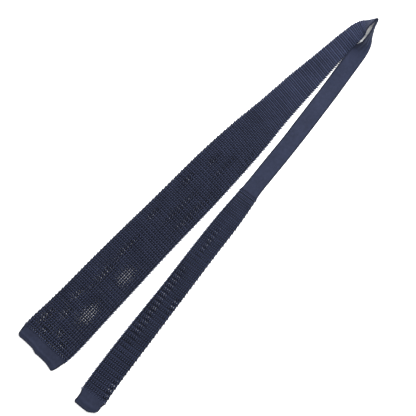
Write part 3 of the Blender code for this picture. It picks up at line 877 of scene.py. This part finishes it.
def carry(piece, start, end):
    """Ride a piece that runs from start to end along the ribbon on the body it lies on; a piece that crosses
    a fold rides no body and only has its transform baked.
    """
    for fold, towards, still, moving in (
        (FRONT_FOLD, -1, "front", "front_end"),
        (TAIL_FOLD, 1, "neckband", "tail_end"),
    ):
        if start < fold < end:
            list(fold_ends(fold, towards))
            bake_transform(piece)
            return piece
    if end <= FRONT_FOLD:
        body = "front_end"
    elif end <= 0:
        body = "front"
    elif start >= TAIL_FOLD:
        body = "tail_end"
    else:
        body = "neckband"
    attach(piece, body)
    return piece


# ---------------------------------------------------------------- the pieces
FRONT_COURSES = (3.25, 3.15)  # the courses' pitch at the start and end of each blade
TAIL_COURSES = (3.5, 4.3)
NOSE_END = 16.8           # where the neckband's bend ends and its long limb starts
TAPE_MARGIN, TAPE_HALF = 2.4, 0.2


def front_pitch(s):
    return np.full_like(s, USUAL_PITCH)


def tail_pitch(s):
    return np.interp(s, [TAIL_JOIN, TAIL_HEM], TAIL_COURSES)


def near_ends(start, end, reach):
    """1 beside start and end, fading to 0 at reach[0] from start and reach[1] from end."""
    return lambda s: np.maximum(1 - smoothstep((s - start) / reach[0]), 1 - smoothstep((end - s) / reach[1]))


def knit_blade(name, places, wales, pitch, dense, places_open, per_piece, replaced):
    """A blade's courses, as pieces of at most per_piece courses each."""
    pieces = []
    for number, first in enumerate(range(0, len(places), per_piece)):
        some = places[first:first + per_piece]
        piece = open_knit(f"{name}_{number + 1}", some, first, wales, pitch, dense, places_open)
        dress(piece, "navy_mesh_knit")
        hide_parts(*replaced)
        pieces.append(carry(piece, some[0], some[-1]))
    return pieces


front_knit = knit_blade(
    "front_knit", courses(FRONT_HEM + 0.6, FRONT_JOIN - 0.8, *FRONT_COURSES), FRONT_WALES, front_pitch,
    near_ends(FRONT_HEM, FRONT_JOIN, (7.0, 10.0)), FRONT_OPEN, 32,
    ["front_blade_upper", "front_blade_lower"],
)
tail_knit = knit_blade(
    "tail_knit", courses(TAIL_JOIN + 0.8, TAIL_HEM - 0.6, *TAIL_COURSES), TAIL_WALES, tail_pitch,
    near_ends(TAIL_JOIN, TAIL_HEM, (16.0, 6.0)), TAIL_OPEN, 46,
    ["tail_blade_upper", "tail_blade_lower"],
)


def hem_ridge(end):
    """The turned-in hem's inner edge, pressed through to the face as a low ridge along the end edge."""
    def rise(s, v):
        inside = np.abs(end - s)
        return RIDGE * bell(inside, 6.0, 1.6) - GROOVE * bell(inside, 3.0, 1.2)
    return rise


front_hem = close_knit(
    "front_hem", FRONT_HEM + 0.5, FRONT_END, FRONT_HEM_WALES, HEM_COURSE, HEM_RELIEF, FRONT_TIP,
    hem_ridge(FRONT_END),
)
tail_hem = close_knit(
    "tail_hem", TAIL_HEM - 0.5, TAIL_END, TAIL_HEM_WALES, HEM_COURSE, HEM_RELIEF, TAIL_TIP,
    hem_ridge(TAIL_END),
)
for piece, node, body in (
    (front_hem, "front_hem_cuff", "front_end"),
    (tail_hem, "tail_hem_cuff", "tail_end"),
):
    dress(piece, "navy_dense_knit")
    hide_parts(node)
    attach(piece, body)


def bend_creases(s, v):
    """Lengthwise creases where the neckband twists down from its edge."""
    return CREASE * bell(s, 36.0, 17.0) * np.sin(TAU * v / CREASE_PITCH + s / CREASE_DRIFT)


band_knit = (BAND_WALES, BAND_COURSE, BAND_RELIEF, None, bend_creases)
band_nose = close_knit("neckband_nose", FRONT_JOIN, NOSE_END, *band_knit)
band_long = close_knit("neckband_run", NOSE_END, TAIL_JOIN, *band_knit)
for piece in (band_nose, band_long):
    dress(piece, "neckband_knit")
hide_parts("neckband_bend")
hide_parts("neckband_long")
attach(band_long, "neckband")

tape_nose = tape("stay_tape_nose", FRONT_JOIN + 2, NOSE_END - 0.8, TAPE_MARGIN, TAPE_HALF)
tape_long = tape("stay_tape_run", NOSE_END - 0.8, TAIL_JOIN - 2, TAPE_MARGIN, TAPE_HALF)
for piece in (tape_nose, tape_long):
    dress(piece, "stay_tape")
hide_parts("stay_tape_bend")
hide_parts("stay_tape_long")
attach(tape_long, "neckband")

# The nose bends from one side of the hinge to the other, so its pieces ride no body and only have their
# transforms baked.
for piece in (band_nose, tape_nose):
    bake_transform(piece)

for name, s0, stitches, node, body in (
    ("front_join_loops", FRONT_JOIN, 30, "front_join_seam", "front"),
    ("tail_join_loops", TAIL_JOIN, 32, "tail_join_seam", "neckband"),
):
    piece = dress(loops_ring(name, s0, stitches, tall=2.0, radius=0.3, relief=0.2), "seam_thread")
    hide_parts(node)
    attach(piece, body)

for name, start, end, nodes in (
    ("front_back_seam", FRONT_HEM, FRONT_JOIN - 4, ["front_back_seam_upper", "front_back_seam_lower"]),
    ("tail_back_seam", TAIL_JOIN + 4, TAIL_HEM, ["tail_back_seam_upper", "tail_back_seam_lower"]),
):
    piece = dress(zigzag_seam(name, start, end, pitch=3.0, sway=1.0, depth=0.5), "seam_thread")
    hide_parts(*nodes)
    carry(piece, start, end)

for name, hem, end, tip, count, node, body in (
    ("front_hem_thread", FRONT_HEM, FRONT_END, FRONT_TIP, 18, "front_hem_stitches", "front_end"),
    ("tail_hem_thread", TAIL_HEM, TAIL_END, TAIL_TIP, 10, "tail_hem_stitches", "tail_end"),
):
    piece = dress(hem_thread(name, hem, end, tip, count), "seam_thread")
    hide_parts(node)
    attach(piece, body)

keeper = dress(flat_band("keeper_ribbon", KEEPER, KEEPER_SIZE, rib=1.2, relief=0.07), "navy_dense_knit")
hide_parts("keeper_loop")
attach(keeper, "front_end")
for name, side in (("outer", -1), ("inner", 1)):
    shift = side * (KEEPER_SIZE[1] / 2 + GAP + 0.6)
    tack = bar_tack(f"keeper_{name}_thread", KEEPER, shift, length=6.4, width=0.7, height=0.5)
    piece = dress(tack, "seam_thread")
    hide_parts(f"keeper_tack_{name}")
    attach(piece, "front_end")

label = dress(flat_band("label_ribbon", LABEL, LABEL_SIZE, rib=0.6, relief=0.02), "blank_label")
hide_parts("care_label")
label_edge = dress(label_thread("label_thread", LABEL, LABEL_SIZE), "seam_thread")
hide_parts("care_label_stitches")
for piece in (label, label_edge):
    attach(piece, "tail_end")

for node in ("front_seam_tack", "tail_seam_tack"):  # solid enough to show as the CAD has them
    frame["nodes"][node].material_slots[0].material = LOOKS["seam_thread"][0]


# ---------------------------------------------------------------- floor, light and camera
FLOOR_HALF = 4.0
FLOOR_DROP = 0.0002       # keeps the floor just clear of the part
PAPER_WHITE = 0.92
VIEW_HEIGHT = 6.0         # metres, as are the lights' places below
VIEW_WIDTH = 0.5907       # what the picture's side covers on the table
VIEW_MIDDLE = (-4.5, -358.9)  # mm
VIEW_ROLL = 41.2          # degrees
SENSOR = 36.0


def paper_floor():
    """A plain white paper floor, far wider than the picture."""
    half = FLOOR_HALF
    mesh = bpy.data.meshes.new("floor")
    corners = [(-half, -half, 0), (half, -half, 0), (half, half, 0), (-half, half, 0)]
    mesh.from_pydata(corners, [], [(0, 1, 2, 3)])
    floor = bpy.data.objects.new("floor", mesh)
    floor.location.z = -FLOOR_DROP
    bpy.context.collection.objects.link(floor)
    paper = bpy.data.materials.new("white_paper")
    paper.use_nodes = True
    shader = paper.node_tree.nodes["Principled BSDF"]
    shader.inputs["Base Color"].default_value = (PAPER_WHITE, PAPER_WHITE, PAPER_WHITE, 1)
    shader.inputs["Roughness"].default_value = 0.9
    shader.inputs["Specular IOR Level"].default_value = 0.0
    mesh.materials.append(paper)


def softbox(name, place, power, size=0.9):
    """A square area light of power watts that faces the middle of the table."""
    light = bpy.data.lights.new(name, "AREA")
    light.shape = "SQUARE"
    light.size = size
    light.energy = power
    made = bpy.data.objects.new(name, light)
    made.location = place
    made.rotation_euler = (-Vector(place)).to_track_quat("-Z", "Y").to_euler()
    bpy.context.collection.objects.link(made)


def sky(strength):
    """Even white light from all round."""
    world = bpy.data.worlds.new("studio")
    world.use_nodes = True
    world.node_tree.nodes["Background"].inputs["Color"].default_value = (1, 1, 1, 1)
    world.node_tree.nodes["Background"].inputs["Strength"].default_value = strength
    bpy.context.scene.world = world


def camera():
    """Looks straight down from high up, rolled so that the tie lies slantwise in the picture."""
    lens = bpy.data.cameras.new("camera")
    lens.sensor_width = SENSOR
    lens.lens = SENSOR * VIEW_HEIGHT / VIEW_WIDTH
    lens.clip_end = 100.0
    made = bpy.data.objects.new("camera", lens)
    middle = (np.array(VIEW_MIDDLE) + RIBBON.shift) * MM
    made.location = (*middle, VIEW_HEIGHT)
    made.rotation_euler = (0.0, 0.0, math.radians(VIEW_ROLL))
    bpy.context.collection.objects.link(made)
    bpy.context.scene.camera = made


paper_floor()
sky(0.10)
# The overhead box is above the camera, so that its light goes straight through the mesh's holes.
softbox("overhead", (0.0, 0.0, VIEW_HEIGHT + 0.1), 279, size=2.4)
softbox("nose_side", (-0.2, 1.7, 1.5), 110)
softbox("tip_side", (-0.1, -1.9, 1.5), 10)
softbox("left", (-1.8, 0.2, 1.5), 12)
softbox("right", (1.8, 0.0, 1.5), 10)
camera()
bpy.context.scene.view_settings.view_transform = "Standard"
